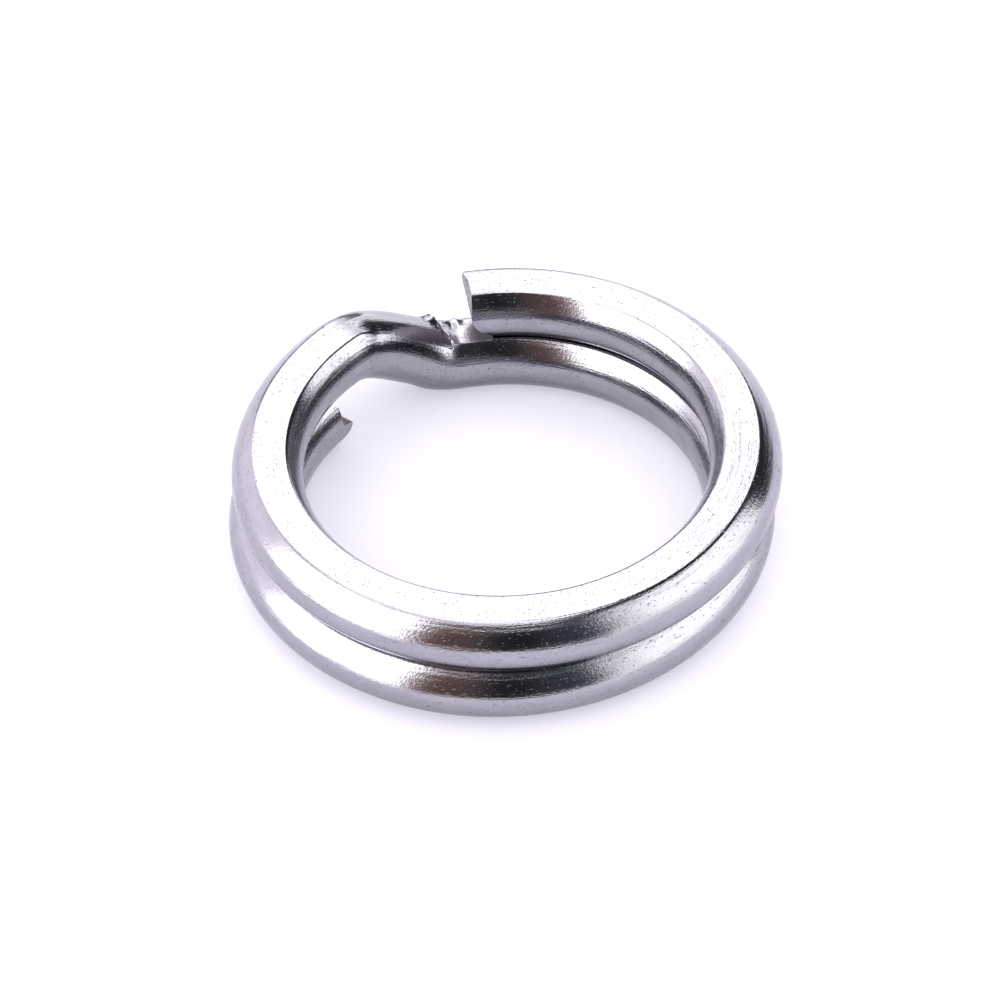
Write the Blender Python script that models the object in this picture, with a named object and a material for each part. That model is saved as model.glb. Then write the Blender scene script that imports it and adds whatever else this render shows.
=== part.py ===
"""A split key ring: one springy wire wound twice round, with its two turns pressed flat against each other.

Frame: metres, +Z up along the ring's axis, origin on the table under the middle of the ring. +X is to the
right of someone who looks along +Y. An angle along the wire is in degrees, counter-clockwise seen from
above, and runs on past 360: the wire starts at its lower end, climbs to the upper turn in the crossover and
stops at its upper end.

The real ring is a single wire, which twists all the way along when a key is pushed between its turns, as
the wire of a coil spring does. Here it is divided into stretches. Each hangs on the one before it, with its
object's origin in the middle of the wire where the two meet. Turning a stretch by a degree or two about the
wire's own line there lifts every stretch beyond it, as the twist does.
"""

import math

import bmesh
import bpy
import numpy as np
from mathutils import Matrix, Vector

# Driving dimensions
OUTER_DIAMETER = 0.016
WIRE_WIDTH = 0.00209  # across the ring, from its inner to its outer side
WIRE_HEIGHT = 0.00188  # between the two pressed flats
FLAT_WIDTH = 0.00104
FLAT_SHIFT = -0.0001  # how far the flats sit outside the middle of the wire
TURN_PITCH = 0.00191  # from the lower turn up to the upper one: the height and a hair of clearance
TURN_OFFSET = 0.00021  # the upper turn sits this far to the right of the lower one

# Where things are along the wire, in degrees
LOWER_END = 141.0
CLIMB_START = 462.0
CLIMB_FINISH = 496.0
UPPER_END = 818.5
CROSSOVER = (447.0, 506.0)  # the stretch that holds the climb

# How the wire is divided
FLEX_GAP = 0.0001  # clear space between neighbouring stretches
STEP = 4.5  # degrees between the points of a stretch's path
END_STEP = 0.4  # the first and last steps are short, so that the end faces stand square to the wire
SIDE_POINTS = 8  # steps of the section's outline from one flat to the other

# The sheared ends, and the seat that the press left beside the upper end
END_RAKE = 22.0  # degrees by which the upper end's face leans, so that its top overhangs
BITE_RADIUS = 0.00038
BITE_HEIGHT = 0.76  # of the wire's height
SEAT_FINISH = 467.5  # degrees along the wire, where the seat's wall stands
SEAT_DEPTH = 0.00005
SEAT_LENGTH = 0.0018

MIDDLE_RADIUS = (OUTER_DIAMETER - WIRE_WIDTH) / 2
FLEX_ANGLE = math.degrees(FLEX_GAP / MIDDLE_RADIUS)

# Where each stretch of a turn lies, from the crossover to the wire's end
UPPER_PLACES = ("left_back", "left_front", "front_left", "front_right", "right_front", "right_back", "end")
LOWER_PLACES = ("back_right", "right_back", "right_front", "front_right", "front_left", "left_front", "end")


def smoothstep(value):
    """0 below 0, 1 above 1, and 3v^2 - 2v^3 between them."""
    value = min(max(value, 0.0), 1.0)
    return value * value * (3 - 2 * value)


def wire_centre(angle):
    """The middle of the wire at an angle along it, on a circle that shifts sideways as it climbs."""
    climb = smoothstep((angle - CLIMB_START) / (CLIMB_FINISH - CLIMB_START))
    turned = math.radians(angle)
    shift = TURN_OFFSET * (climb - 0.5)
    height = WIRE_HEIGHT / 2 + TURN_PITCH * climb
    return Vector((MIDDLE_RADIUS * math.cos(turned) + shift, MIDDLE_RADIUS * math.sin(turned), height))


def section_outline():
    """The wire's section as (outwards, up) points: two flats, and between them sides that bulge as
    bulge * (1 - h^2), with h running from -1 at the lower flat to 1 at the upper one."""
    outer_edge = FLAT_SHIFT + FLAT_WIDTH / 2
    inner_edge = FLAT_SHIFT - FLAT_WIDTH / 2
    heights = np.linspace(-1, 1, SIDE_POINTS + 1)
    bulge = 1 - heights**2
    outer = np.stack([outer_edge + (WIRE_WIDTH / 2 - outer_edge) * bulge, heights * WIRE_HEIGHT / 2], axis=1)
    inner = np.stack([inner_edge - (WIRE_WIDTH / 2 + inner_edge) * bulge, heights * WIRE_HEIGHT / 2], axis=1)
    return np.concatenate([inner, outer[::-1]])


def new_collection(name):
    collection = bpy.data.collections.new(name)
    bpy.context.scene.collection.children.link(collection)
    return collection


def make_helper(obj):
    """Marks a guide or a cutter, which is no part of the ring."""
    obj.hide_render = True
    obj.display_type = "WIRE"


def polyline(data, points, closed=False):
    """Adds one straight-sided spline through the points to a curve."""
    spline = data.splines.new("POLY")
    spline.points.add(len(points) - 1)
    for spline_point, point in zip(spline.points, points):
        spline_point.co = (*point, 1.0)
    spline.use_cyclic_u = closed


def make_section_guide(collection):
    """The outline that every stretch is swept with. A profile's first axis points away from the ring's middle."""
    data = bpy.data.curves.new("wire_section", "CURVE")
    data.dimensions = "2D"
    data.fill_mode = "NONE"
    polyline(data, [(out, up, 0.0) for out, up in section_outline()], closed=True)
    guide = bpy.data.objects.new("wire_section", data)
    collection.objects.link(guide)
    make_helper(guide)
    return guide


def make_steel():
    """Bright nickel-plated steel."""
    steel = bpy.data.materials.new("bright_plated_steel")
    steel.use_nodes = True
    shader = steel.node_tree.nodes["Principled BSDF"]
    shader.inputs["Base Color"].default_value = (0.80, 0.79, 0.80, 1.0)
    shader.inputs["Metallic"].default_value = 1.0
    shader.inputs["Roughness"].default_value = 0.12
    return steel


def make_stretch(name, start, finish, pivot, parent, section, steel, collection):
    """The wire from start to finish, as a curve swept with the section, with its origin at the pivot."""
    count = math.ceil((finish - start) / STEP)
    between = np.linspace(start + END_STEP, finish - END_STEP, count)
    data = bpy.data.curves.new(name, "CURVE")
    data.dimensions = "3D"
    data.twist_mode = "Z_UP"
    data.bevel_mode = "OBJECT"
    data.bevel_object = section
    data.use_fill_caps = True
    polyline(data, [wire_centre(angle) - pivot for angle in (start, *between, finish)])
    data.materials.append(steel)
    stretch = bpy.data.objects.new(name, data)
    collection.objects.link(stretch)
    place_on_parent(stretch, pivot, parent)
    return stretch


def place_on_parent(obj, pivot, parent):
    """Stands an object at a world position, whether or not it has a parent."""
    obj.parent = parent
    bpy.context.view_layer.update()
    obj.matrix_world = Matrix.Translation(pivot)


def as_mesh(curve_object, collection):
    """Replaces a curve object by a mesh of the same name, place and parent, with its caps welded on."""
    evaluated = curve_object.evaluated_get(bpy.context.evaluated_depsgraph_get())
    mesh = bpy.data.meshes.new_from_object(evaluated)
    welded = bmesh.new()
    welded.from_mesh(mesh)
    bmesh.ops.remove_doubles(welded, verts=welded.verts, dist=1e-7)
    bmesh.ops.recalc_face_normals(welded, faces=welded.faces)
    welded.to_mesh(mesh)
    welded.free()
    name, parent = curve_object.name, curve_object.parent
    pivot = curve_object.matrix_world.translation.copy()
    bpy.data.objects.remove(curve_object)
    solid = bpy.data.objects.new(name, mesh)
    collection.objects.link(solid)
    place_on_parent(solid, pivot, parent)
    return solid


def frame_at(angle, height):
    """Axes at a place on the wire's circle: X away from the ring's middle, Y on along the wire, Z up."""
    place = wire_centre(angle)
    return Matrix.Translation((place.x, place.y, height)) @ Matrix.Rotation(math.radians(angle), 4, "Z")


def make_box_cutter(name, place, low, high, collection):
    """A box between two corners of its own frame, which place puts into the world."""
    shape = bmesh.new()
    bmesh.ops.create_cube(shape, size=1.0)
    size = Vector(high) - Vector(low)
    middle = (Vector(high) + Vector(low)) / 2
    bmesh.ops.transform(shape, matrix=Matrix.Translation(middle) @ Matrix.Diagonal((*size, 1)), verts=shape.verts)
    mesh = bpy.data.meshes.new(name)
    shape.to_mesh(mesh)
    shape.free()
    cutter = bpy.data.objects.new(name, mesh)
    cutter.matrix_world = place
    collection.objects.link(cutter)
    make_helper(cutter)
    return cutter


def make_round_cutter(name, place, radius, length, collection):
    """A cylinder along the X axis of its place."""
    shape = bmesh.new()
    bmesh.ops.create_cone(shape, cap_ends=True, segments=24, radius1=radius, radius2=radius, depth=length)
    bmesh.ops.rotate(shape, matrix=Matrix.Rotation(math.pi / 2, 3, "Y"), verts=shape.verts)
    mesh = bpy.data.meshes.new(name)
    shape.to_mesh(mesh)
    shape.free()
    cutter = bpy.data.objects.new(name, mesh)
    cutter.matrix_world = place
    collection.objects.link(cutter)
    make_helper(cutter)
    return cutter


def cut(solid, cutter):
    boolean = solid.modifiers.new(cutter.name, "BOOLEAN")
    boolean.operation = "DIFFERENCE"
    boolean.object = cutter


def make_turn(side, places, root_end, free_end, root, section, steel, collection):
    """One turn of stretches, from the crossover to the wire's free end. Returns the last one."""
    angles = np.linspace(root_end, free_end, len(places) + 1)
    way = 1 if free_end > root_end else -1
    parent = root
    for place, near, far in zip(places, angles[:-1], angles[1:]):
        near_face = near + way * FLEX_ANGLE / 2
        far_face = far if far == free_end else far - way * FLEX_ANGLE / 2
        first, last = sorted((near_face, far_face))
        name = f"{side}_{place}"
        parent = make_stretch(name, first, last, wire_centre(near), parent, section, steel, collection)
    return parent


def main():
    for obj in list(bpy.data.objects):
        bpy.data.objects.remove(obj, do_unlink=True)
    ring = new_collection("split_key_ring")
    helpers = new_collection("cutters_and_guides")
    section = make_section_guide(helpers)
    steel = make_steel()

    start, finish = CROSSOVER
    first, last = start + FLEX_ANGLE / 2, finish - FLEX_ANGLE / 2
    middle = wire_centre((CLIMB_START + CLIMB_FINISH) / 2)
    crossover = as_mesh(make_stretch("crossover", first, last, middle, None, section, steel, ring), ring)
    upper_end = make_turn("upper", UPPER_PLACES, finish, UPPER_END, crossover, section, steel, ring)
    upper_end = as_mesh(upper_end, ring)
    lower_end = make_turn("lower", LOWER_PLACES, start, LOWER_END, crossover, section, steel, ring)
    lower_end = as_mesh(lower_end, ring)

    # The shears leaned as they closed, so the upper end's face runs back under its own top edge.
    top = TURN_PITCH + WIRE_HEIGHT
    rake = frame_at(UPPER_END, top) @ Matrix.Rotation(math.radians(-END_RAKE), 4, "X")
    reach = 2 * WIRE_HEIGHT
    rake_cutter = make_box_cutter("end_rake", rake, (-reach, 0, -reach), (reach, reach, reach), helpers)
    cut(upper_end, rake_cutter)

    # They tore a round bite out of the lower end.
    bite = frame_at(LOWER_END, BITE_HEIGHT * WIRE_HEIGHT)
    cut(lower_end, make_round_cutter("end_bite", bite, BITE_RADIUS, 2 * WIRE_WIDTH, helpers))

    # Pressing the turns together sank a flat seat into the foot of the climb, with a wall where it stops.
    seat = frame_at(SEAT_FINISH, WIRE_HEIGHT - SEAT_DEPTH)
    low = (-WIRE_WIDTH, -SEAT_LENGTH, 0)
    high = (WIRE_WIDTH, 0, WIRE_HEIGHT)
    cut(crossover, make_box_cutter("pressed_seat", seat, low, high, helpers))


main()
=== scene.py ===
# %% [markdown]
# # A split key ring, from bare wire to plated finish
#
# The real object is one piece of springy steel wire. It is wound twice round a mandrel, pressed flat
# between two plates so that its turns lie on each other, sheared off at both ends, tumbled and plated.
# This lesson follows the same order: a path, a section, the marks that the press and the shears left, the
# section carried along the path, and then the plating.
#
# The frame comes first. It holds the fifteen stretches of the working model, and it fixes every size.

# %% Load the frame
import math

import bpy
import numpy as np
from mathutils import Matrix, Vector


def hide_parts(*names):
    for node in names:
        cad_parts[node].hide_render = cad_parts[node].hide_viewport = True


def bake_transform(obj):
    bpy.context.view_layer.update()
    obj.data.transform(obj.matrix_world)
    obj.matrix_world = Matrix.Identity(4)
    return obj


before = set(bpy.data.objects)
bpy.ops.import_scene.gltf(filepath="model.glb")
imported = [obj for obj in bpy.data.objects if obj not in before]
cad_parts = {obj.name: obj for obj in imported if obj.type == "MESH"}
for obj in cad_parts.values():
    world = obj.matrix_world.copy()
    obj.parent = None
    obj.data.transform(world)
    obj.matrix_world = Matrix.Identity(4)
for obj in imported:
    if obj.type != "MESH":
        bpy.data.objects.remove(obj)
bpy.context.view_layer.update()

# %% [markdown]
# ## The line that the wire follows
#
# A place on the wire is given by an angle in degrees, counter-clockwise seen from above. It runs on past
# 360: the wire starts at its lower end at 141, climbs to the upper turn between 459 and 494.5 and stops at
# its upper end near 818. A Bezier curve through a dozen points could draw such a line, but a formula puts
# any place on the wire exactly where the frame has it, and the later steps all need that.
#
# Lengths are in millimetres until a mesh is made. They are the frame's own, so the finished wire fills the
# same space. Two places differ by less than half a millimetre: the climb begins and ends a little sooner than
# the frame's, and the upper end is given where the middle of its torn face is.

# %% The wire's line
OUTER_DIAMETER = 16.0
WIRE_WIDTH = 2.09  # across the ring, from its inner to its outer side
WIRE_HEIGHT = 1.88  # between the two pressed flats
TURN_PITCH = 1.91  # from the lower turn up to the upper one
TURN_OFFSET = 0.21  # the upper turn sits this far to the right of the lower one
LOWER_END, UPPER_END = 141.0, 817.5
CLIMB_START, CLIMB_FINISH = 459.0, 494.5
MIDDLE_RADIUS = (OUTER_DIAMETER - WIRE_WIDTH) / 2
MM_PER_DEGREE = math.radians(MIDDLE_RADIUS)
NEARBY = 0.01  # degrees to each side of a place, for the direction of the wire there


def smooth(value):
    """0 below 0, 1 above 1, and 3v^2 - 2v^3 between them, on a whole array."""
    value = np.clip(value, 0.0, 1.0)
    return value * value * (3 - 2 * value)


def wire_centre(angle):
    """The middle of the wire: x = radius * cos(angle) + offset * (climb - 1/2), y = radius * sin(angle) and
    z = half the height + pitch * climb, where climb goes smoothly from 0 to 1."""
    climb = smooth((angle - CLIMB_START) / (CLIMB_FINISH - CLIMB_START))
    turned = np.radians(angle)
    x = MIDDLE_RADIUS * np.cos(turned) + TURN_OFFSET * (climb - 0.5)
    return np.stack([x, MIDDLE_RADIUS * np.sin(turned), WIRE_HEIGHT / 2 + TURN_PITCH * climb], axis=-1)


def wire_axes(angle):
    """Unit vectors at each place: along = the step between two nearby places, across = along x (0, 0, 1),
    which points away from the ring's middle, and up = across x along."""
    along = wire_centre(angle + NEARBY) - wire_centre(angle - NEARBY)
    along /= np.linalg.norm(along, axis=-1, keepdims=True)
    across = np.cross(along, (0.0, 0.0, 1.0))
    across /= np.linalg.norm(across, axis=-1, keepdims=True)
    return along, across, np.cross(across, along)


print(f"wire: {(UPPER_END - LOWER_END) * MM_PER_DEGREE:.0f} mm long, on a circle of {MIDDLE_RADIUS:.3f} mm")

# %% [markdown]
# ## The section where the wire is pressed
#
# The wire started round. The press flattened it above and below, and its sides bulged out, more on the
# outer side than on the inner one. A bevelled box would show two straight sides and an even edge, so the
# outline is drawn as what it is: two flats, and between them sides that bulge as a parabola.
#
# A pressed edge is not sharp. The outline is treated as one closed wave, and its finest ripples are
# damped, which rounds the four creases and leaves the rest alone.

# %% The pressed outline
FLAT_WIDTH = 1.04  # against a plate
TOUCH_INSET = 0.10  # where the two turns were pressed on each other, the flat stops this much sooner inside
FLAT_SHIFT = -0.10  # from the middle of the wire to the middle of the flats, which is nearer the ring's middle
CREASE_SOFTNESS = 0.040  # about the radius of a crease
DENSE = 4096  # places round an outline before the final ones are picked
SIDE_STEPS = 800  # for the length of a side


def outline_places():
    """Even places round the pressed outline, counter-clockwise from the middle of its outer side: height
    from -1 to 1, share of the way over a flat from its outer to its inner edge, facing, which is -1 on the
    inner side and 1 elsewhere, and whether the place is on a flat."""
    half = WIRE_HEIGHT / 2
    climb = np.linspace(-1, 1, SIDE_STEPS)
    bulge = WIRE_WIDTH / 2 - FLAT_WIDTH / 2
    side_length = np.concatenate([[0], np.cumsum(np.hypot(np.diff(bulge * (1 - climb**2)), half * np.diff(climb)))])
    lengths_round = np.array([side_length[-1] / 2, FLAT_WIDTH, side_length[-1], FLAT_WIDTH, side_length[-1] / 2])
    starts = np.concatenate([[0], np.cumsum(lengths_round)])
    along = np.linspace(0, starts[-1], DENSE, endpoint=False)
    part = np.searchsorted(starts, along, side="right") - 1
    into = along - starts[part]
    from_edge = np.interp(into, side_length, climb)
    from_middle = np.interp(into + side_length[-1] / 2, side_length, climb)
    height = np.select([part == 0, part == 1, part == 2, part == 3], [from_middle, 1.0, -from_edge, -1.0], from_edge)
    share = np.select([part == 1, part == 3], [into / FLAT_WIDTH, 1 - into / FLAT_WIDTH], 0.0)
    facing = np.where(part == 2, -1.0, 1.0)
    return height, share, facing, (part == 1) | (part == 3)


def softened(outline, width):
    """Each term of a closed outline's Fourier series times exp(-(k * width)^2 / 2), k in radians per mm."""
    length = np.abs(np.diff(outline, append=outline[:1])).sum()
    wave = 2 * np.pi * np.fft.fftfreq(len(outline), length / len(outline))
    return np.fft.ifft(np.fft.fft(outline) * np.exp(-((wave * width) ** 2) / 2))


def pressed_outline(top_inset, bottom_inset):
    """Flats above and below, each cut short by its inset at its inner edge, and sides that bulge as
    edge + (reach - edge) * (1 - h^2). Across the ring is the real part, and up the imaginary one."""
    height, share, facing, flat = outline_places()
    inset = np.where(height > 0, top_inset, bottom_inset)
    outer_edge, inner_edge = FLAT_SHIFT + FLAT_WIDTH / 2, FLAT_SHIFT - FLAT_WIDTH / 2 + inset
    edge = np.where(facing > 0, outer_edge, inner_edge)
    side = edge + (facing * WIRE_WIDTH / 2 - edge) * (1 - height**2)
    across = np.where(flat, outer_edge + (inner_edge - outer_edge) * share, side)
    return softened(across + 1j * height * WIRE_HEIGHT / 2, CREASE_SOFTNESS)


pressed = pressed_outline(0, 0)
print(f"pressed section: {np.ptp(pressed.real):.2f} mm wide and {np.ptp(pressed.imag):.2f} mm high")

# %% [markdown]
# ## The section where the press missed it
#
# On the climb the wire kept its drawn shape, a circle. Its points keep the order that they have on the
# pressed outline, so that a stretch which was half pressed can be blended from one to the other point by
# point. Separate meshes would need a bridge of faces between them, and it would show as a seam.

# %% The round outline
ROUND_RADIUS = 1.02
CREASE_TURN = math.radians(53)  # the arcs that stand for the flats begin this far above the middle


def round_outline():
    """radius * exp(i * turn). The turn is arcsin(height * sin(crease turn)) on the sides, and shared out
    evenly over the arcs above and below, which are the pressed outline's flats."""
    height, share, facing, flat = outline_places()
    side = np.arcsin(np.clip(height * math.sin(CREASE_TURN), -1, 1))
    side = np.where(facing > 0, side, np.pi - side)
    arc = CREASE_TURN + share * (math.pi - 2 * CREASE_TURN)
    return ROUND_RADIUS * np.exp(1j * np.where(flat, np.sign(height) * arc, side))


print(f"round section: {np.ptp(round_outline().real):.2f} mm across")

# %% [markdown]
# ## Picking the section's points
#
# Even points would waste most of them on the flats and leave the creases rough, and the creases are what
# the eye follows round the ring. So the points are shared out partly by length and partly by how fast the
# outline turns. The two turns differ in one thing: where they were pressed on each other, the flat is
# narrower on the inside.

# %% The points of the section
SECTION_POINTS = 112
CREASE_SHARE = 0.55  # of the points, shared out by how fast the outline turns


def spread_points(outline, count):
    """Where to take points from a dense outline: at even values of the running sum of
    (1 - share) * length / all length + share * turning / all turning."""
    step = np.diff(outline, append=outline[:1])
    turning = np.abs(np.angle(step / np.roll(step, 1)))
    measure = (1 - CREASE_SHARE) * np.abs(step) / np.abs(step).sum() + CREASE_SHARE * turning / turning.sum()
    total = np.concatenate([[0], np.cumsum(measure)])
    return np.interp(np.linspace(0, 1, count, endpoint=False), total, np.arange(DENSE + 1))


def taken(outline, index):
    """The outline at places between its dense points, each on the straight line from one to the next."""
    closed, at = np.append(outline, outline[0]), np.arange(DENSE + 1)
    return np.interp(index, at, closed.real) + 1j * np.interp(index, at, closed.imag)


SPREAD = spread_points(pressed, SECTION_POINTS)
PRESSED = taken(pressed, SPREAD)
UPPER_TURN = taken(pressed_outline(0, TOUCH_INSET), SPREAD)
LOWER_TURN = taken(pressed_outline(TOUCH_INSET, 0), SPREAD)
ROUND = taken(round_outline(), SPREAD)
print(f"section: {np.ptp(PRESSED.real):.2f} x {np.ptp(PRESSED.imag):.2f} mm in {SECTION_POINTS} points")

# %% [markdown]
# ## Where the press reached
#
# The plates never touched the climb, so the wire keeps its round top there. Beside the upper end the lower
# turn's flat stops at a low wall, which runs slantwise over the wire, and under the climb the flat fades
# out and comes back. Cutting the wall with a boolean would give a clean edge and stray triangles. Here the
# section itself goes from pressed to round, over a few hundredths of a millimetre at the wall.

# %% The press marks
# Places along the wire, in degrees.
SEAT_START = (436.0, 457.0)  # the lower turn's upper flat widens here, under the upper end
SEAT_WALL = (463.4, 469.6)  # where the wall stands at the flat's inner and outer edge
WALL_WIDTH = 0.35
TOP_BAND_START, TOP_BAND_WIDTH = 0.40, 0.08  # of the wire's height, up from its middle: what the wall cuts off
SIDE_LOSES = (457.0, 468.0)  # the sides under the upper flat go from pressed to round here
FLAT_STARTS = (487.6, 492.2)  # the upper flat comes back here, on the upper turn
UNDER_STOPS, UNDER_STARTS = (465.5, 472.0), (486.0, 495.0)  # and here the lower flat goes and comes back


def ramp(angle, limits):
    """0 before the first limit, 1 past the second and smooth between."""
    return smooth((angle - limits[0]) / (limits[1] - limits[0]))


def pressed_amount(angle, section):
    """1 where the wire is pressed and 0 where it is round: below + (above - below) * smooth(height). Above
    is 1 until the wall, or the fade of the sides, and again where the climb levels out."""
    share = np.clip((section.real - FLAT_SHIFT) / FLAT_WIDTH + 0.5, 0, 1)
    wall = SEAT_WALL[0] + (SEAT_WALL[1] - SEAT_WALL[0]) * share
    on_flat = smooth((section.imag / WIRE_HEIGHT - TOP_BAND_START) / TOP_BAND_WIDTH)
    lost = ramp(angle, SIDE_LOSES) * (1 - on_flat) + smooth((angle - wall) / WALL_WIDTH) * on_flat
    above = 1 - lost + ramp(angle, FLAT_STARTS)
    below = 1 - ramp(angle, UNDER_STOPS) + ramp(angle, UNDER_STARTS)
    return below + (above - below) * smooth(section.imag / WIRE_HEIGHT + 0.5)


def section_at(angle):
    """The outline at each place on the wire, as a complex grid: round + (pressed - round) * amount."""
    seat, climb = ramp(angle, SEAT_START), ramp(angle, (CLIMB_START, CLIMB_FINISH))
    flattened = LOWER_TURN + (PRESSED - LOWER_TURN) * seat + (UPPER_TURN - PRESSED) * climb
    return ROUND + (flattened - ROUND) * pressed_amount(angle, PRESSED)


print(f"the press missed the wire's top for {(FLAT_STARTS[0] - SEAT_WALL[1]) * MM_PER_DEGREE:.1f} mm of its length")

# %% [markdown]
# ## The sheared ends
#
# The shears tore the wire rather than cut it: the upper end leans back under its own top, and the lower
# one is hollow in its upper half and has a thin lip above that. Each face is a short table of how far the
# wire reaches at each height. The last millimetre of wire is pulled along with it, and the pull fades out,
# so the wire stays one smooth surface up to the edge of the tear.

# %% The torn faces
UPPER_FACE = (  # height in the section and how far the wire reaches past its nominal end there, in mm
    (-0.94, -0.62), (-0.56, -0.46), (-0.25, -0.15), (0.0, 0.0), (0.2, 0.06), (0.62, 0.02), (0.94, -0.02))
LOWER_FACE = (
    (-0.94, 0.10), (-0.5, 0.26), (-0.14, 0.42), (0.0, 0.42), (0.06, 0.22), (0.12, 0.02), (0.3, 0.02), (0.6, 0.10),
    (0.94, 0.20))
FACE_REACH = 0.9  # mm of wire that the tear pulls along
FACE_SPAN, FACE_STEPS = 1.1, 441  # heights from -1.1 to 1.1 mm, 0.005 mm apart
BEND_STEPS, BEND_WINDOW = 5.0, 12  # how widely the table's corners are rounded, in those steps
CORNER_LIP = 0.09  # a lip on the upper end's upper outer corner, in mm
CORNER_ACROSS, CORNER_UP = (0.35, 0.2), (0.9, 0.3)  # its place and its size


def bump_at(value, middle, width):
    """A soft hump, exp(-((v - middle) / width)^2)."""
    return np.exp(-(((value - middle) / width) ** 2))


def face_reach(table, up):
    """How far past its nominal place the end reaches at each height, in mm: straight lines between the
    table's rows, averaged with the weights exp(-(steps / width)^2)."""
    heights, reach = np.array(table).T
    fine = np.linspace(-FACE_SPAN, FACE_SPAN, FACE_STEPS)
    curve = np.interp(fine, heights, reach)
    kernel = np.exp(-(np.arange(-BEND_WINDOW, BEND_WINDOW + 1) / BEND_STEPS) ** 2)
    padded = np.pad(curve, BEND_WINDOW, mode="edge")
    return np.interp(up, fine, np.convolve(padded, kernel / kernel.sum(), mode="valid"))


def end_shift(angle, section):
    """The shift along the wire, in mm: reach * (1 - smooth(distance from the end / how far it is felt)),
    forwards at the upper end and backwards at the lower one."""
    from_upper = (UPPER_END - angle) * MM_PER_DEGREE
    from_lower = (angle - LOWER_END) * MM_PER_DEGREE
    corner = CORNER_LIP * bump_at(section.real, *CORNER_ACROSS) * bump_at(section.imag, *CORNER_UP)
    upper = (face_reach(UPPER_FACE, section.imag) + corner) * (1 - smooth(from_upper / FACE_REACH))
    lower = face_reach(LOWER_FACE, section.imag) * (1 - smooth(from_lower / FACE_REACH))
    return upper - lower


for end_name, face in (("upper", UPPER_FACE), ("lower", LOWER_FACE)):
    print(f"{end_name} end: its face is {np.ptp(np.array(face)[:, 1]):.2f} mm deep")

# %% [markdown]
# ## Burrs and dents beside the upper end
#
# The press pushed some metal up into small ragged burrs along the wall and left a few dents beside them.
# They are only a few tenths of a millimetre across, but they catch the light where the eye looks first.
# Sculpting them would lift single points of the mesh. A handful of soft humps is enough and stays smooth.

# %% Marks on the lower turn's top
# The angle and the place across of each mark, how far it stands up, and how far it reaches along and
# across, in mm.
TOP_MARKS = (
    (468.9, 0.26, 0.16, 0.16, 0.16), (470.0, 0.40, 0.13, 0.12, 0.14), (467.9, -0.02, 0.09, 0.12, 0.15),
    (467.0, 0.34, -0.12, 0.14, 0.16), (461.4, 0.16, -0.055, 0.26, 0.20), (459.6, 0.46, 0.10, 0.15, 0.12),
    (458.6, 0.30, 0.07, 0.12, 0.10), (464.6, -0.28, 0.05, 0.12, 0.12))
TOP_HALF = 0.5  # mm above the middle of the wire, where a mark counts in full


def top_marks(angle, section):
    """The sum of height * bump along * bump across over the marks, times smooth(height in the section)."""
    up = np.zeros(np.broadcast(angle, section).shape)
    for place, across, height, reach_along, reach_across in TOP_MARKS:
        along = bump_at(angle, place, reach_along / MM_PER_DEGREE)
        up += height * along * bump_at(section.real, across, reach_across)
    return up * smooth(section.imag / TOP_HALF)


print("marks:", sum(mark[2] > 0 for mark in TOP_MARKS), "burrs and", sum(mark[2] < 0 for mark in TOP_MARKS), "dents")

# %% [markdown]
# ## Carrying the section along the wire
#
# The real wire is drawn through a die and wound, so its surface is the section carried along its line.
# Blender could bevel a curve, but one section for the whole curve could not change along the way. Worked
# out as a grid, with one ring of points for each place along the wire, every ring may be different.

# %% The surface formula
def wire_surface(angle, section):
    """centre(angle) + across * Re(section) + up * (Im(section) + marks) + along * end shift, on a whole grid."""
    along, across, up = wire_axes(angle)
    shift = end_shift(angle, section)[..., None]
    height = section.imag + top_marks(angle, section)
    return (wire_centre(angle) + across * section.real[..., None] + up * height[..., None]
            + along * shift)


def grid_normals(points):
    """Unit cross product of the steps round the section and along the wire."""
    round_it = np.roll(points, -1, axis=1) - np.roll(points, 1, axis=1)
    along = np.gradient(points, axis=0)
    outwards = np.cross(round_it, along)
    return outwards / np.linalg.norm(outwards, axis=-1, keepdims=True)


low_point, high_point = (wire_surface(np.full((1, 1), place), PRESSED[None, :]) for place in (LOWER_END, UPPER_END))
print(f"the wire rises {high_point[..., 2].max() - low_point[..., 2].max():.2f} mm from its lower end to its upper one")

# %% [markdown]
# ## Dividing the wire where the frame bends
#
# The frame's stretches meet at hinges, and the real wire has no joint there. So the surface is divided in the middle of
# each stretch and not at the hinges: each of the fourteen lengths spans one hinge.

# %% Borders between lengths
UPPER_PLACES = ("left_back", "left_front", "front_left", "front_right", "right_front", "right_back", "end")
LOWER_PLACES = ("back_right", "right_back", "right_front", "front_right", "front_left", "left_front", "end")
CROSSOVER = (447.0, 506.0)  # the stretch that holds the climb
UPPER_FRAME_END = 818.5
upper_hinges = np.linspace(CROSSOVER[1], UPPER_FRAME_END, len(UPPER_PLACES) + 1)
lower_hinges = np.linspace(CROSSOVER[0], LOWER_END, len(LOWER_PLACES) + 1)
upper_middles = (upper_hinges[1:-1] + upper_hinges[:-2]) / 2
lower_middles = (lower_hinges[1:-1] + lower_hinges[:-2]) / 2
crossover_middle = sum(CROSSOVER) / 2
borders = np.concatenate([[LOWER_END], lower_middles[::-1], [crossover_middle], upper_middles, [UPPER_END]])
lengths = [f"lower_{place}" for place in LOWER_PLACES[::-1]] + [f"upper_{place}" for place in UPPER_PLACES]
print(len(lengths), "lengths of", ", ".join(f"{size:.1f}" for size in np.diff(borders) * MM_PER_DEGREE), "mm")

# %% [markdown]
# ## The wire as one grid
#
# The whole wire is worked out at once and cut up afterwards. Its normals are taken from the whole grid too,
# so that light runs on over the borders as it does over the real wire. The rings stand closer together at
# the wall and at the torn ends, where the shape changes fast.

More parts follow.
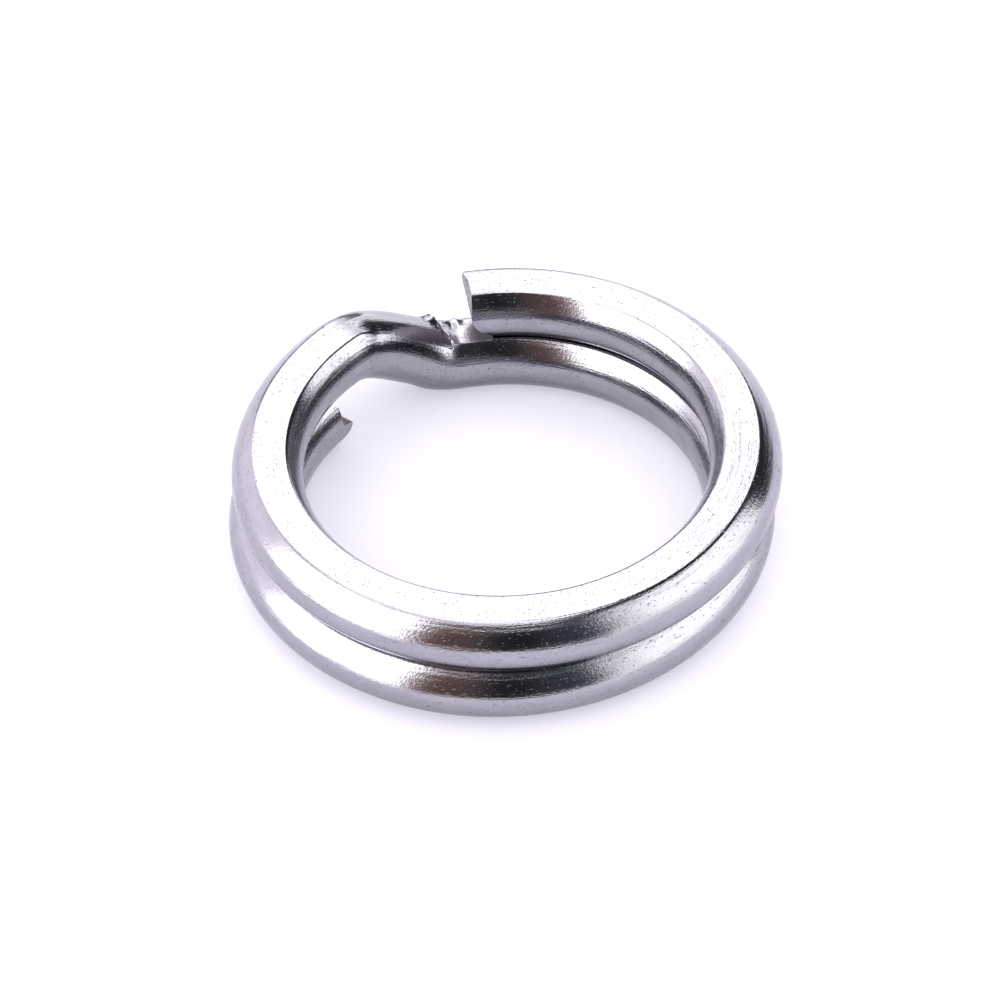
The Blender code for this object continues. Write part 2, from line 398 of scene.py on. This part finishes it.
# %% The whole surface
EVEN_RINGS = 2.0  # rings to a degree
EXTRA_RINGS = ((8, 465.5, 7.5), (6, LOWER_END, 4), (6, UPPER_END, 4))  # more of them, where, and how widely
DENSITY_STEPS = 2000


def places_between(start, finish):
    """Angles from start to finish, at even values of the running sum of rings to a degree."""
    fine = np.linspace(start, finish, DENSITY_STEPS)
    density = EVEN_RINGS
    for extra, place, width in EXTRA_RINGS:
        density = density + extra * bump_at(fine, place, width)
    total = np.concatenate([[0], np.cumsum((density[1:] + density[:-1]) / 2 * np.diff(fine))])
    return np.interp(np.linspace(0, total[-1], math.ceil(total[-1]) + 1), total, fine)


runs = [places_between(start, finish) for start, finish in zip(borders[:-1], borders[1:])]
angles = np.concatenate([run[:-1] for run in runs] + [borders[-1:]])
ends = np.concatenate([[0], np.cumsum([len(run) - 1 for run in runs])])
sections = section_at(angles[:, None])
surface = wire_surface(angles[:, None], sections)
normals = grid_normals(surface)
print(f"grid: {surface.shape[0]} rings of {surface.shape[1]} points, in {len(lengths)} lengths")

# %% [markdown]
# ## Closing each length
#
# A length is a tube, and both ends are closed by rings that shrink to a point. Inside the wire the two
# discs of neighbours lie against each other and are never seen. At the two sheared ends the same rings
# follow the torn face, so they are what shows there. One flat face with many corners would be simpler, but
# it could not be hollow.

# %% Rings that close an end
CAP_SCALES = np.array([0.93, 0.8, 0.64, 0.48, 0.32, 0.16])


def cap_grid(angle, section):
    """Rings at middle + scale * (section - middle), put through the surface formula, and the middle itself."""
    middle = section.mean()
    scaled = middle + CAP_SCALES[:, None] * (section - middle)[None, :]
    rings = wire_surface(np.full((len(CAP_SCALES), 1), angle), scaled)
    pole = wire_surface(np.full((1, 1), angle), np.array([[middle]]))
    return rings, pole[0], scaled, middle


def tube_faces(rows, columns):
    """Corner numbers of the quads between neighbouring rings of a grid that is closed round the section."""
    first = (np.arange(rows - 1)[:, None] * columns + np.arange(columns)[None, :]).ravel()
    row, column = np.divmod(first, columns)
    after = row * columns + (column + 1) % columns
    return np.stack([first, after, after + columns, first + columns], axis=1)


print(f"an end is closed by {len(CAP_SCALES)} rings and a fan of {SECTION_POINTS} triangles")

# %% [markdown]
# ## One closed length
#
# A length is put together from its first rings, its tube and its last rings. Beside each point's place it
# keeps the point's place on the wire as if that were straight: along, across and up, in millimetres. The
# finish is laid out on those, because drawing lines follow the wire and would run straight through space
# otherwise.

# %% Points and faces of a length
def closed_length(first, last):
    """Vertices, straightened coordinates, quads, which quads close an end, the fans at the two poles, and
    the normals of the tube's vertices."""
    columns, caps = SECTION_POINTS, len(CAP_SCALES)
    tube, tube_normals = surface[first:last + 1], normals[first:last + 1]
    start_rings, start_pole, start_sections, start_middle = cap_grid(angles[first], sections[first])
    end_rings, end_pole, end_sections, end_middle = cap_grid(angles[last], sections[last])
    grid = np.concatenate([start_rings[::-1], tube, end_rings])
    points = np.concatenate([grid.reshape(-1, 3), start_pole, end_pole])

    section = np.concatenate([start_sections[::-1], sections[first:last + 1], end_sections])
    along = np.concatenate([np.full(caps, angles[first]), angles[first:last + 1], np.full(caps, angles[last])])
    along = np.broadcast_to(along[:, None] * MM_PER_DEGREE, section.shape)
    straight = np.stack([along, section.real, section.imag], axis=-1).reshape(-1, 3)
    poles = [[angles[first] * MM_PER_DEGREE, start_middle.real, start_middle.imag],
             [angles[last] * MM_PER_DEGREE, end_middle.real, end_middle.imag]]
    straight = np.concatenate([straight, poles])

    quads = tube_faces(len(grid), columns)
    row = quads[:, 0] // columns
    on_cap = (row < caps) | (row >= caps + len(tube) - 1)
    ring = np.arange(columns)
    after = (ring + 1) % columns
    top = (len(grid) - 1) * columns
    start_fan = np.stack([np.full(columns, len(points) - 2), after, ring], axis=1)
    end_fan = np.stack([np.full(columns, len(points) - 1), top + ring, top + after], axis=1)

    vertex_normals = np.zeros_like(points)
    vertex_normals[caps * columns:(caps + len(tube)) * columns] = tube_normals.reshape(-1, 3)
    return points, straight, quads, on_cap, np.concatenate([start_fan, end_fan]), vertex_normals


def face_normals(points, faces):
    """The unit sum, at each vertex, of the normals of its faces, (b - a) x (c - a)."""
    a, b, c = points[faces[:, 0]], points[faces[:, 1]], points[faces[:, -1]]
    each = np.cross(b - a, c - a)
    total = np.zeros_like(points)
    for corner in range(faces.shape[1]):
        np.add.at(total, faces[:, corner], each)
    length = np.linalg.norm(total, axis=1, keepdims=True)
    return total / np.where(length > 0, length, 1)


print("the first length has", len(closed_length(ends[0], ends[1])[0]), "points")

# %% [markdown]
# ## The meshes
#
# Shading a whole length smooth would round off the torn edge, and marking edges sharp would crease the
# join between two lengths. So each corner gets its normal from what it belongs to: the tube's corners from
# the grid, and the end faces' corners from the end faces. The end faces also get the second material.

# %% Make the fourteen meshes
METRES_PER_MM = 0.001
LEAST_LENGTH = 1e-9  # keeps a zero vector zero when it is divided by its length


def make_mesh(name, first, last):
    """A mesh object at the origin, in metres, with corner normals and the coordinates that finishes read."""
    points, straight, quads, on_cap, fans, tube_normals = closed_length(first, last)
    cap_quads = quads[on_cap]
    cap_normals = face_normals(points, cap_quads) + face_normals(points, fans)
    cap_normals /= np.maximum(np.linalg.norm(cap_normals, axis=1, keepdims=True), LEAST_LENGTH)
    tube_quads = int((~on_cap).sum())
    quads = np.concatenate([quads[~on_cap], cap_quads])
    corners = np.concatenate([quads.ravel(), fans.ravel()])
    corner_normals = cap_normals[corners]
    corner_normals[:4 * tube_quads] = tube_normals[corners[:4 * tube_quads]]
    counts = np.concatenate([np.full(len(quads), 4), np.full(len(fans), 3)])

    mesh = bpy.data.meshes.new(name)
    mesh.vertices.add(len(points))
    mesh.vertices.foreach_set("co", (points * METRES_PER_MM).astype(np.float32).ravel())
    mesh.loops.add(len(corners))
    mesh.loops.foreach_set("vertex_index", corners.astype(np.int32))
    mesh.polygons.add(len(counts))
    mesh.polygons.foreach_set("loop_start", np.concatenate([[0], np.cumsum(counts)[:-1]]).astype(np.int32))
    mesh.polygons.foreach_set("material_index", (np.arange(len(counts)) >= tube_quads).astype(np.int32))
    mesh.update(calc_edges=True)
    mesh.validate()
    mesh.polygons.foreach_set("use_smooth", np.ones(len(counts), bool))
    mesh.normals_split_custom_set(corner_normals.astype(np.float32))
    attribute = mesh.attributes.new("wire_mm", "FLOAT_VECTOR", "POINT")
    attribute.data.foreach_set("vector", straight.astype(np.float32).ravel())
    obj = bpy.data.objects.new(name, mesh)
    bpy.context.scene.collection.objects.link(obj)
    return obj


wire_pieces = [make_mesh(f"wire_{name}", ends[i], ends[i + 1]) for i, name in enumerate(lengths)]
print("faces:", sum(len(piece.data.polygons) for piece in wire_pieces), "in", len(wire_pieces), "lengths")

# %% [markdown]
# ## The lengths in place of the frame's stretches
#
# When a key is pushed between the turns, the real wire twists evenly all along. Here each length keeps the place where
# it was made: its placement is baked into its points, and the frame's stretch that it stands for is hidden, with the
# crossover hidden beside the upper left back.

# %% Bake the lengths and hide the frame's stretches
def blend_over_hinge(piece, name, first, last, root_first):
    """Works out a line from the length's end nearer the crossover to its other end, or, for a last length, to a place
    as far beyond its hinge as its first border is before it; nothing uses that line. Then bakes the length's placement
    into its points and hides the frame's stretch named, and the crossover with the upper left back."""
    side, place = name.split("_", 1)
    places = UPPER_PLACES if side == "upper" else LOWER_PLACES
    number = places.index(place)
    near, far = surface[first if root_first else last], surface[last if root_first else first]
    if number == len(places) - 1:
        hinge = (upper_hinges if root_first else lower_hinges)[number]
        beyond = hinge + (hinge - angles[first if root_first else last])
        far = wire_surface(np.full((1, 1), beyond), PRESSED[None, :])[0]
    line = far.mean(axis=0) - near.mean(axis=0)
    line /= np.linalg.norm(line)
    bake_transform(piece)
    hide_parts(name, *(["crossover"] if name == "upper_left_back" else []))


for i, (piece, name) in enumerate(zip(wire_pieces, lengths)):
    blend_over_hinge(piece, name, ends[i], ends[i + 1], name.startswith("upper"))
print("blended:", ", ".join(piece.name for piece in wire_pieces))

# %% [markdown]
# ## Colours and nodes
#
# A colour is given as it would be picked on a screen, and turned to the linear light that a shader counts
# in. Node trees are long to write by hand, so one small function adds a node with its settings and links.

# %% Helpers for materials
def linear(code):
    """An sRGB hex colour as linear light: c / 12.92 up to 0.04045, else ((c + 0.055) / 1.055)^2.4."""
    values = np.array([int(code[i:i + 2], 16) for i in (1, 3, 5)]) / 255
    return tuple(np.where(values <= 0.04045, values / 12.92, ((values + 0.055) / 1.055) ** 2.4)) + (1.0,)


def add(tree, kind, links=(), **settings):
    """Adds a node. A setting is given to the node if it has one of that name, and to its socket if not.
    Links are (socket, source)."""
    node = tree.nodes.new(kind)
    for key, value in settings.items():
        if hasattr(node, key):
            setattr(node, key, value)
        else:
            node.inputs[key.replace("_", " ")].default_value = value
    for socket, source in links:
        tree.links.new(source, node.inputs[socket])
    return node


def new_material(name):
    """A material with an empty node tree."""
    material = bpy.data.materials.new(name)
    material.use_nodes = True
    material.node_tree.nodes.clear()
    return material


def sum_of(tree, *terms):
    """The sum of source * weight over the terms, as a chain of multiply-and-add nodes."""
    total = None
    for source, weight in terms:
        node = add(tree, "ShaderNodeMath", [(0, source)], operation="MULTIPLY_ADD")
        node.inputs[1].default_value = weight
        if total is None:
            node.inputs[2].default_value = 0.0
        else:
            tree.links.new(total, node.inputs[2])
        total = node.outputs["Value"]
    return total


print("mid grey, #808080, is", tuple(round(float(value), 3) for value in linear("#808080")), "in linear light")

# %% [markdown]
# ## The plating
#
# The wire is bright nickel over drawn spring steel. Its grain comes from how it was made. Drawing left
# fine lines along it. Winding left its surface a little uneven, which breaks up the edges of whatever it
# mirrors. Tumbling rounded all that and added a soft grain and small pits, which the plating did not fill.
# It is painted a little greyer low on its sides: this is painted shade, for the darker floor that the lower sides
# mirror.
#
# The sheared faces were plated as they were torn, so they are much duller and coarser.
#
# The relief is a bump, because the real one is a few thousandths of a millimetre high, far too fine for a
# mesh. It is laid out on the wire's own straightened coordinates, so the lines follow it round.

# %% The finishes
# Cells of noise per millimetre, along the wire, across it and up it.
DRAWN_LINES = (0.45, 12.0, 12.0)  # 2 mm long and 0.08 mm apart: real ones are finer, and would not show
UNEVEN = (0.30, 3.2, 3.2)  # 3 mm long and 0.3 mm wide
GRAIN = (13.0, 18.0, 18.0)  # 0.06 to 0.08 mm: a tumbled grain is finer, and would not show
PIT_SPOTS = (9.0, 18.0, 18.0)  # 0.1 mm long, drawn out by the die
PATCHES = (1.2, 3.5, 3.5)  # thinner plating, in patches of 0.3 to 0.8 mm
PIT_EDGE = 0.05  # how much noise lies between a pit's rim and its floor
PAINTED_SHADE_BELOW = (-0.05, -0.55)  # mm from the middle of the wire: where the painted shade begins, and where it is full
PATCH_STAIN, PIT_STAIN, LOW_PAINTED_SHADE = 0.5, 0.45, 0.45  # how far each goes from the colour to the stained and shaded one; the last is painted shade
PIT_DULLING, PATCH_DULLING = 0.2, 0.6  # what they add to the roughness, the second as a share of it


def noise_on_wire(tree, place, per_mm, detail=2.0, roughness=0.5):
    """Noise with this many cells per millimetre along the wire, across it and up it."""
    scaled = add(tree, "ShaderNodeMapping", [("Vector", place)], Scale=per_mm)
    noise = add(tree, "ShaderNodeTexNoise", [("Vector", scaled.outputs["Vector"])], Scale=1.0, Detail=detail,
                Roughness=roughness)
    return noise.outputs["Fac"]


def smooth_range(tree, source, start, finish):
    """0 before the start, 1 past the finish and smooth between, as a node."""
    return add(tree, "ShaderNodeMapRange", [("Value", source)], interpolation_type="SMOOTHSTEP",
               From_Min=start, From_Max=finish).outputs["Result"]


def steel_finish(name, colour, stained_and_shaded, roughness, relief_mm, pit_share):
    """Plated steel. Relief = the weights in mm times lines, unevenness, grain and pits; colour and roughness are sums
    of the same patterns, of patches of thin plating and of the height in the section, which paints shade low on the
    sides."""
    material = new_material(name)
    tree = material.node_tree
    place = add(tree, "ShaderNodeAttribute", attribute_name="wire_mm").outputs["Vector"]
    lines = noise_on_wire(tree, place, DRAWN_LINES)
    waves = noise_on_wire(tree, place, UNEVEN, 1.0)
    grain = noise_on_wire(tree, place, GRAIN, 3.0, 0.6)
    pits = smooth_range(tree, noise_on_wire(tree, place, PIT_SPOTS), pit_share, pit_share + PIT_EDGE)
    height = sum_of(tree, *zip((lines, waves, grain, pits), relief_mm))
    relief = add(tree, "ShaderNodeBump", [("Height", height)], Strength=1.0, Distance=METRES_PER_MM)

    patches = noise_on_wire(tree, place, PATCHES, 3.0, 0.65)
    # Painted shade: the colour goes towards the second one low in the section.
    low = smooth_range(tree, add(tree, "ShaderNodeSeparateXYZ", [("Vector", place)]).outputs["Z"], *PAINTED_SHADE_BELOW)
    tone = sum_of(tree, (patches, PATCH_STAIN), (pits, PIT_STAIN), (low, LOW_PAINTED_SHADE))
    tint = add(tree, "ShaderNodeMix", [("Factor", tone)], data_type="RGBA", clamp_factor=True)
    tint.inputs["A"].default_value = linear(colour)
    tint.inputs["B"].default_value = linear(stained_and_shaded)
    dull = sum_of(tree, (grain, roughness), (pits, PIT_DULLING), (patches, roughness * PATCH_DULLING))
    shader = add(tree, "ShaderNodeBsdfPrincipled",
                 [("Normal", relief.outputs["Normal"]), ("Base Color", tint.outputs["Result"]), ("Roughness", dull)],
                 Metallic=1.0)
    add(tree, "ShaderNodeOutputMaterial", [("Surface", shader.outputs["BSDF"])])
    return material


# The second colour serves as the stain of thin plating and of pits, and as the painted shade low on the sides.
plate = steel_finish("bright_nickel_plate", "#D1D0D4", "#A8A7AC", 0.17, (0.0060, 0.012, 0.0058, -0.003), 0.66)
torn = steel_finish("plated_over_sheared_steel", "#CFCCCD", "#A8A5A8", 0.50, (0.004, 0.0, 0.03, -0.01), 0.60)
for piece in wire_pieces:
    piece.data.materials.append(plate)
    piece.data.materials.append(torn)
print("finishes:", plate.name, "and", torn.name)

# %% [markdown]
# ## The studio
#
# Bright metal shows nothing but what stands round it, so the room is part of the finish. The ring lies in a
# white tent. The lens, the stands beside it and parts of the ceiling and of the back wall are darker than the
# tent, and the softboxes are brighter: these make the dark and the white bands that run through the wire.
# Area lights have hard edges, which would show. Each sheet is a part of a sphere round the ring that gives
# off a fixed light and fades out at its edges. Only reflections show the sheets, and the camera does not.

# %% Sheets of light and dark
SHEET_COLUMNS, SHEET_ROWS = 49, 25


def studio_sheet(name, distance, azimuths, first, last, strength, colour, softness):
    """Part of a sphere round the ring: azimuth 0 is the camera's side, and 90 is the right. First and last
    are its lowest and highest elevation at its two azimuths, and straight lines join them. Its edges fade
    as smooth(distance to the edge / softness), in degrees round and up, and it gives off a fixed light."""
    u, v = np.linspace(0, 1, SHEET_COLUMNS)[:, None], np.linspace(0, 1, SHEET_ROWS)[None, :]
    low = first[0] + (last[0] - first[0]) * u
    high = first[1] + (last[1] - first[1]) * u
    azimuth = np.radians(azimuths[0] + (azimuths[1] - azimuths[0]) * u)
    elevation = np.radians(low + (high - low) * v)
    flat = np.cos(elevation)
    points = distance * np.stack([np.sin(azimuth) * flat, -np.cos(azimuth) * flat, np.sin(elevation)], axis=-1)
    row, column = np.divmod(np.arange((SHEET_COLUMNS - 1) * (SHEET_ROWS - 1)), SHEET_ROWS - 1)
    corner = row * SHEET_ROWS + column
    quads = np.stack([corner, corner + SHEET_ROWS, corner + SHEET_ROWS + 1, corner + 1], axis=1)
    mesh = bpy.data.meshes.new(name)
    mesh.from_pydata(points.reshape(-1, 3).tolist(), [], quads.tolist())
    sheet = bpy.data.objects.new(name, mesh)
    bpy.context.scene.collection.objects.link(sheet)
    sheet.visible_camera = False
    sheet.visible_diffuse = False

    across = np.minimum(u, 1 - u) * (azimuths[1] - azimuths[0]) + 0 * v
    upright = np.minimum(v, 1 - v) * (high - low)
    fade = smooth(across / softness[0]) * smooth(upright / softness[1])
    mesh.attributes.new("fade", "FLOAT", "POINT").data.foreach_set("value", fade.astype(np.float32).ravel())

    material = new_material(name)
    tree = material.node_tree
    amount = add(tree, "ShaderNodeAttribute", attribute_name="fade").outputs["Fac"]
    glow = add(tree, "ShaderNodeEmission", Color=linear(colour), Strength=strength)
    clear = add(tree, "ShaderNodeBsdfTransparent")
    mixed = add(tree, "ShaderNodeMixShader", [(0, amount), (1, clear.outputs["BSDF"]), (2, glow.outputs["Emission"])])
    add(tree, "ShaderNodeOutputMaterial", [("Surface", mixed.outputs["Shader"])])
    material.cycles.emission_sampling = "NONE"
    mesh.materials.append(material)
    return sheet


# Where two overlap, the nearer one is seen, so no two share a distance. Each row gives the name, the distance
# in metres, the two azimuths, the elevations at each of them, the strength, the colour and the softness.
SHEETS = (
    ("lens_opening", 0.41, (-21, 22), (2, 58), (2, 58), 0.25, "#CCCCD2", (14, 7)),
    ("warm_stand", 0.42, (-44, -5), (-2, 52), (0, 58), 0.46, "#FFE0DA", (14, 7)),
    ("cool_stand", 0.43, (5, 42), (0, 60), (6, 56), 0.36, "#D6DCF4", (14, 7)),
    ("dark_ceiling", 0.44, (24, 167), (50, 68), (42, 80), 0.22, "#E8E8F2", (5, 5)),
    ("back_panel", 0.45, (108, 146), (-3, 46), (-3, 50), 0.24, "#ECEAF6", (6, 6)),
    ("back_panel_edge", 0.452, (136, 167), (4, 50), (34, 54), 0.24, "#ECEAF6", (5, 5)),
    ("back_gap", 0.455, (172, 215), (-4, 22), (-4, 22), 0.50, "#F4F0F2", (6, 6)),
    ("left_ceiling", 0.446, (-167, -20), (40, 58), (56, 70), 1.20, "#F8F6FC", (6, 5)),
    ("left_wall", 0.458, (-165, -96), (-3, 50), (-3, 56), 1.45, "#F9F6FC", (8, 6)),
    ("left_softbox", 0.46, (-112, -36), (-3, 66), (-3, 66), 2.5, "#FFFFFF", (12, 6)),
    ("right_softbox", 0.47, (46, 114), (2, 48), (2, 42), 1.75, "#FFFFFF", (10, 8)),
    ("back_softbox", 0.48, (100, 260), (30, 66), (30, 66), 1.98, "#FFFDFF", (12, 10)),
    ("top_softbox", 0.49, (0, 360), (62, 89.9), (62, 89.9), 1.8, "#FFFFFF", (8, 8)),
)
studio = [studio_sheet(*sheet) for sheet in SHEETS]
print("sheets:", ", ".join(sheet.name for sheet in studio))

# %% [markdown]
# ## Floor and daylight
#
# The floor is a plain pale sheet of paper, matt and very slightly cool. It is lit by the white tent and a
# little from below, like paper on a light table, which keeps the shadow under the ring light. The tent is
# the world's plain white, because soft light from everywhere is what a tent gives.

# %% The floor and the tent
FLOOR_HALF = 1.5  # metres
PAPER_GLOW = 0.62
TENT_LIGHT = 1.4
DISPLAY_GAMMA = 0.5  # below 1 it darkens the greys, which gives bright metal its depth

floor_mesh = bpy.data.meshes.new("floor")
floor_mesh.from_pydata([(-FLOOR_HALF, -FLOOR_HALF, 0), (FLOOR_HALF, -FLOOR_HALF, 0),
                        (FLOOR_HALF, FLOOR_HALF, 0), (-FLOOR_HALF, FLOOR_HALF, 0)], [], [(0, 1, 2, 3)])
floor = bpy.data.objects.new("floor", floor_mesh)
bpy.context.scene.collection.objects.link(floor)
paper = bpy.data.materials.new("pale_paper")
paper.use_nodes = True
for socket, value in (("Base Color", linear("#B4B3B8")), ("Roughness", 0.9), ("Emission Color", linear("#F1EFF6")),
                      ("Emission Strength", PAPER_GLOW)):
    paper.node_tree.nodes["Principled BSDF"].inputs[socket].default_value = value
paper.cycles.emission_sampling = "NONE"
floor_mesh.materials.append(paper)

world = bpy.data.worlds.new("white_tent")
bpy.context.scene.world = world
world.use_nodes = True
world.node_tree.nodes["Background"].inputs["Color"].default_value = (1, 1, 1, 1)
world.node_tree.nodes["Background"].inputs["Strength"].default_value = TENT_LIGHT

view_settings = bpy.context.scene.view_settings
view_settings.view_transform = "Standard"
view_settings.gamma = DISPLAY_GAMMA
print("floor:", 2 * FLOOR_HALF, "m of", paper.name, "under", world.name)

# %% [markdown]
# ## The camera
#
# A long lens close to the ring, looking down at about 45 degrees and very slightly tilted. A shorter lens
# nearer still would spread the near side of the ring. Its aim is a hair up and left of the ring's middle.

# %% Camera
CAMERA_ELEVATION = math.radians(44.87)
CAMERA_ROLL = math.radians(-2.71)
CAMERA_DISTANCE = 0.144
LENS = 176.1
SENSOR_WIDTH = 36
CLIP = (0.01, 10)
AIM_RIGHT, AIM_UP = -0.000294, 0.000930


def make_camera():
    """Stands at target + distance * back and looks at target + right * aim + up * aim, tilted by the roll."""
    target = Vector((TURN_OFFSET / 2 * METRES_PER_MM, 0, 0))
    back = Vector((0, -math.cos(CAMERA_ELEVATION), math.sin(CAMERA_ELEVATION)))
    right, up = Vector((1, 0, 0)), Vector((0, math.sin(CAMERA_ELEVATION), math.cos(CAMERA_ELEVATION)))
    tilted_right = math.cos(CAMERA_ROLL) * right + math.sin(CAMERA_ROLL) * up
    tilted_up = math.cos(CAMERA_ROLL) * up - math.sin(CAMERA_ROLL) * right
    place = target + back * CAMERA_DISTANCE
    aim = target + tilted_right * AIM_RIGHT + tilted_up * AIM_UP
    z = (place - aim).normalized()
    x = (tilted_right - z * tilted_right.dot(z)).normalized()
    y = z.cross(x)
    camera = bpy.data.objects.new("camera", bpy.data.cameras.new("camera"))
    camera.data.lens = LENS
    camera.data.sensor_width = SENSOR_WIDTH
    camera.data.clip_start, camera.data.clip_end = CLIP
    camera.matrix_world = Matrix((x, y, z)).transposed().to_4x4()
    camera.location = place
    bpy.context.scene.collection.objects.link(camera)
    bpy.context.scene.camera = camera
    return camera


camera = make_camera()
print("camera:", camera.data.lens, "mm lens at", tuple(round(v, 4) for v in camera.location))

# %% [markdown]
# ## Measure and finish
#
# The finished wire has to fill the frame's box and no more, so the wire's box is written down.

# %% Sizes
bpy.context.view_layer.update()
print(f"surface: {np.ptp(surface[..., 0]):.2f} x {np.ptp(surface[..., 1]):.2f} x {np.ptp(surface[..., 2]):.2f} mm")
